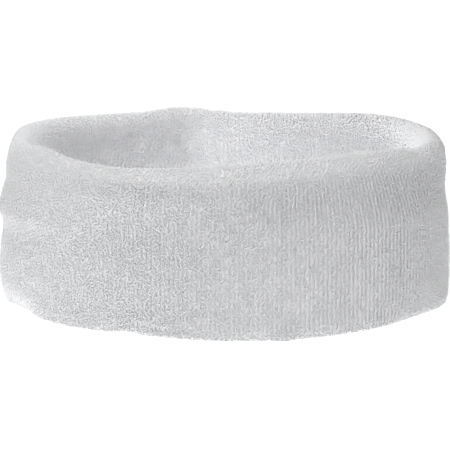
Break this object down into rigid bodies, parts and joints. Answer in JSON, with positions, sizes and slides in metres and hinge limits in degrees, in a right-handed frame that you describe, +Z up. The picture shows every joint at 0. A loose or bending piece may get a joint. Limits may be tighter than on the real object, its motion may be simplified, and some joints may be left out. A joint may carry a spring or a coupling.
{
  "type": "sports headband",
  "caption": "Soft ring of white terry cloth, folded double with a rolled upper edge and sewn shut along its lower edge, standing on that edge with its head opening upright.",
  "frame": {"origin": "centre of the band's box at its lower edge, where it stands", "axes": "+Z up through the head opening, +X along the ring's long way across, +Y to the back of the ring; the turning gap's stitch is at the front, towards -Y"},
  "size_m": [0.1518, 0.096, 0.056],
  "materials": {
    "cotton_pile": "white cotton terry loops, matt and fuzzy",
    "polyamide_ground": "fine white knit, matt",
    "covered_elastic": "elastic core covered with white polyamide, satin",
    "sewing_thread": "white spun polyester thread, slight sheen"
  },
  "bodies": {
    "root": {"terry_pile": "cotton_pile", "ground_knit": "polyamide_ground", "elastic_yarn_1": "covered_elastic", "elastic_yarn_2": "covered_elastic", "elastic_yarn_3": "covered_elastic", "elastic_yarn_4": "covered_elastic", "elastic_yarn_5": "covered_elastic", "elastic_yarn_6": "covered_elastic", "elastic_yarn_7": "covered_elastic", "elastic_yarn_8": "covered_elastic", "closing_seam_needle_thread": "sewing_thread", "closing_seam_looper_thread": "sewing_thread", "turning_gap_thread": "sewing_thread", "seam_end_knot": "sewing_thread"}
  },
  "joints": []
}
